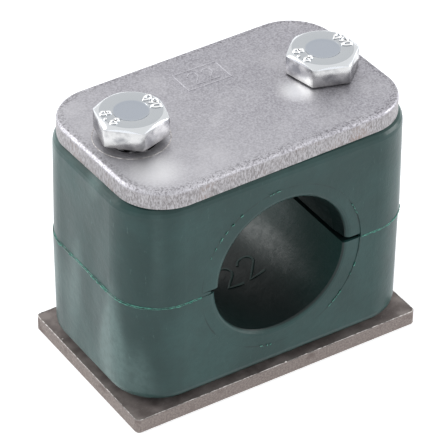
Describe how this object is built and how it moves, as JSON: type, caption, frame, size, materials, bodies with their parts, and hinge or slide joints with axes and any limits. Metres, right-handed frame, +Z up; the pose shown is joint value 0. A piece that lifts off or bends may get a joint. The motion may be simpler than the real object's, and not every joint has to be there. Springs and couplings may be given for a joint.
{
  "type": "hydraulic tube clamp",
  "caption": "Two-bolt tube clamp: green moulded jaws between a steel weld plate and a zinc-plated cover plate, for a 22 mm tube.",
  "frame": {"origin": "middle of the weld plate's underside", "axes": "+Z up through the stack, X along the long side from bolt to bolt, Y along the tube"},
  "size_m": [0.05, 0.0302, 0.0463],
  "materials": {
    "phosphated_steel": "dark matt phosphate on rolled steel",
    "green_moulding": "satin moulded polypropylene, dark green",
    "zinc_plate": "dull zinc plating on a punched plate",
    "zinc_bolt": "bright zinc plating"
  },
  "bodies": {
    "base": {"weld_plate": "phosphated_steel", "lower_jaw": "green_moulding"},
    "top": {"upper_jaw": "green_moulding", "cover_plate": "zinc_plate"},
    "left_bolt": {"left_bolt": "zinc_bolt"},
    "right_bolt": {"right_bolt": "zinc_bolt"}
  },
  "joints": [
    {"name": "top_lift", "type": "slide", "parent": "base", "child": "top", "axis": [0, 0, 1], "range_m": [0, 0.0035]},
    {"name": "left_bolt_turn", "type": "hinge", "parent": "top", "child": "left_bolt", "pos_m": [-0.0165, 0, 0.0415], "axis": [0, 0, 1], "range_deg": [0, 1260.01]},
    {"name": "right_bolt_turn", "type": "hinge", "parent": "top", "child": "right_bolt", "pos_m": [0.0165, 0, 0.0415], "axis": [0, 0, 1], "range_deg": [0, 1260.01]}
  ],
  "couplings": [
    {"joint": "left_bolt_turn", "follows": "top_lift", "rad_per_m": 6283.2},
    {"joint": "right_bolt_turn", "follows": "top_lift", "rad_per_m": 6283.2}
  ]
}
